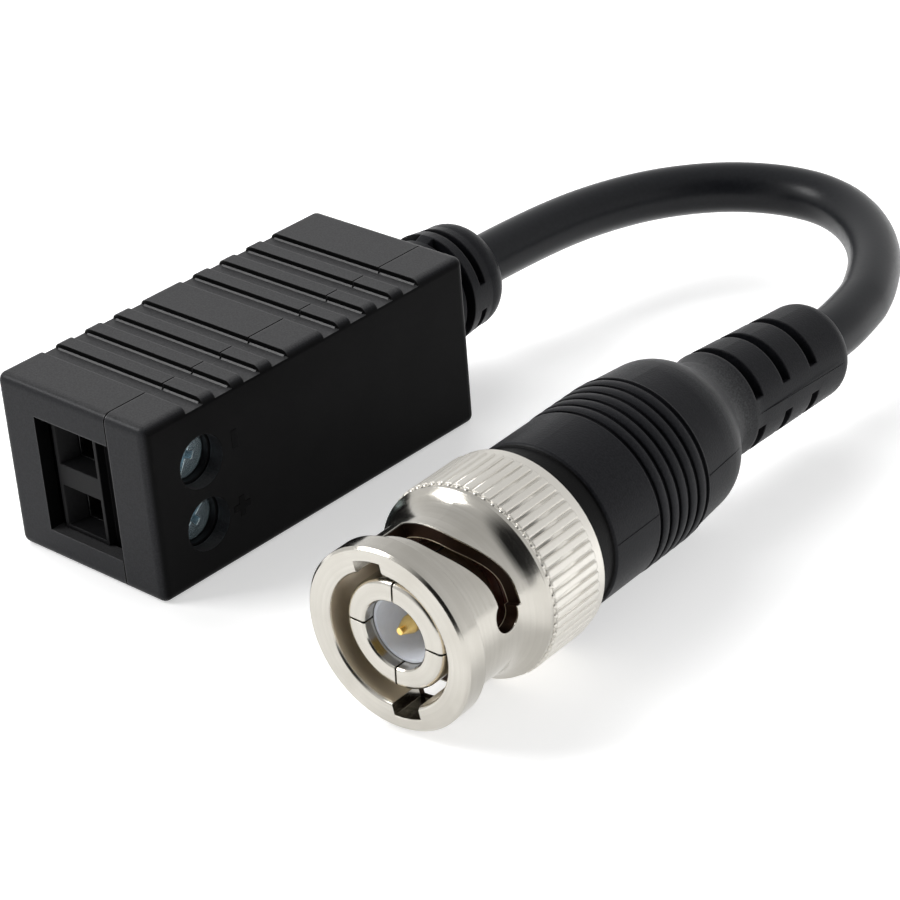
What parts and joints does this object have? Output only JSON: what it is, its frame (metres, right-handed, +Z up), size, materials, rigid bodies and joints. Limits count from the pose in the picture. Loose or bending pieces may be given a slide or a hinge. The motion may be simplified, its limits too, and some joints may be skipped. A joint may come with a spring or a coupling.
{
  "type": "cctv video balun",
  "caption": "Small black two-shell video balun box with a screw terminal pair on one end and a short coaxial pigtail ending in a bayonet video plug.",
  "frame": {"origin": "centre of the box's underside", "axes": "+Z up, the box is long in Y with its wire entries facing -Y and its cable leaving at +Y, screws face +X"},
  "size_m": [0.0464, 0.0738, 0.0145],
  "materials": {
    "case_plastic": "fine satin texture",
    "board_laminate": "green solder mask",
    "block_plastic": "satin",
    "brass_strip": "plain",
    "zinc_steel": "zinc plated",
    "zinc_screw": "bluish zinc plated",
    "ferrite": "sintered",
    "enamel_copper": "enamelled wire",
    "component_black": "moulded",
    "component_tan": "ceramic",
    "core_insulation": "natural polyethylene",
    "tinned_copper": "tinned",
    "moulded_rubber": "matte",
    "cable_jacket": "satin",
    "nickel_plate": "satin nickel",
    "red_silicone": "soft",
    "pale_insulator": "smooth",
    "gold_plate": "gold plated",
    "spring_steel": "plain"
  },
  "bodies": {
    "balun": {"housing_body": "case_plastic", "housing_cover": "case_plastic", "circuit_board": "board_laminate", "terminal_block": "block_plastic", "terminal_strip_upper": "brass_strip", "terminal_strip_lower": "brass_strip", "balun_core": "ferrite", "line_winding": "enamel_copper", "camera_winding": "enamel_copper", "surge_suppressor": "component_black", "chip_capacitors": "component_tan", "signal_lead": "core_insulation", "screen_lead": "tinned_copper", "cable_relief": "moulded_rubber", "cable": "cable_jacket", "plug_body": "nickel_plate", "sleeve_gasket": "red_silicone", "plug_insulator": "pale_insulator", "centre_pin": "gold_plate", "crimp_ferrule": "nickel_plate", "cable_core": "core_insulation", "plug_boot": "moulded_rubber"},
    "terminal_screw_upper": {"terminal_screw_upper": "zinc_screw"},
    "terminal_screw_lower": {"terminal_screw_lower": "zinc_screw"},
    "terminal_cage_upper": {"terminal_cage_upper": "zinc_steel"},
    "terminal_cage_lower": {"terminal_cage_lower": "zinc_steel"},
    "nut_washer": {"thrust_washer": "spring_steel", "wave_spring": "spring_steel"},
    "coupling_nut": {"coupling_nut": "nickel_plate", "snap_ring": "spring_steel"}
  },
  "joints": [
    {"name": "terminal_screw_upper_turn", "type": "hinge", "parent": "balun", "child": "terminal_screw_upper", "pos_m": [0.005, -0.01165, 0.00949], "axis": [-1, 0, 0], "range_deg": [0, 1920]},
    {"name": "terminal_cage_upper_rise", "type": "slide", "parent": "balun", "child": "terminal_cage_upper", "axis": [1, 0, 0], "range_m": [0, 0.0024]},
    {"name": "terminal_screw_lower_turn", "type": "hinge", "parent": "balun", "child": "terminal_screw_lower", "pos_m": [0.005, -0.01165, 0.00441], "axis": [-1, 0, 0], "range_deg": [0, 1920]},
    {"name": "terminal_cage_lower_rise", "type": "slide", "parent": "balun", "child": "terminal_cage_lower", "axis": [1, 0, 0], "range_m": [0, 0.0024]},
    {"name": "coupling_nut_pull", "type": "slide", "parent": "balun", "child": "nut_washer", "axis": [0.06, -0.9982, 0], "range_m": [0, 0.0006], "stiffness_N_per_m": 12000},
    {"name": "coupling_nut_turn", "type": "hinge", "parent": "nut_washer", "child": "coupling_nut", "pos_m": [0.03193, -0.01863, 0.00726], "axis": [0.06, -0.9982, 0], "continuous": true}
  ],
  "couplings": [
    {"joint": "terminal_screw_upper_turn", "follows": "terminal_cage_upper_rise", "rad_per_m": 13963},
    {"joint": "terminal_screw_lower_turn", "follows": "terminal_cage_lower_rise", "rad_per_m": 13963}
  ]
}
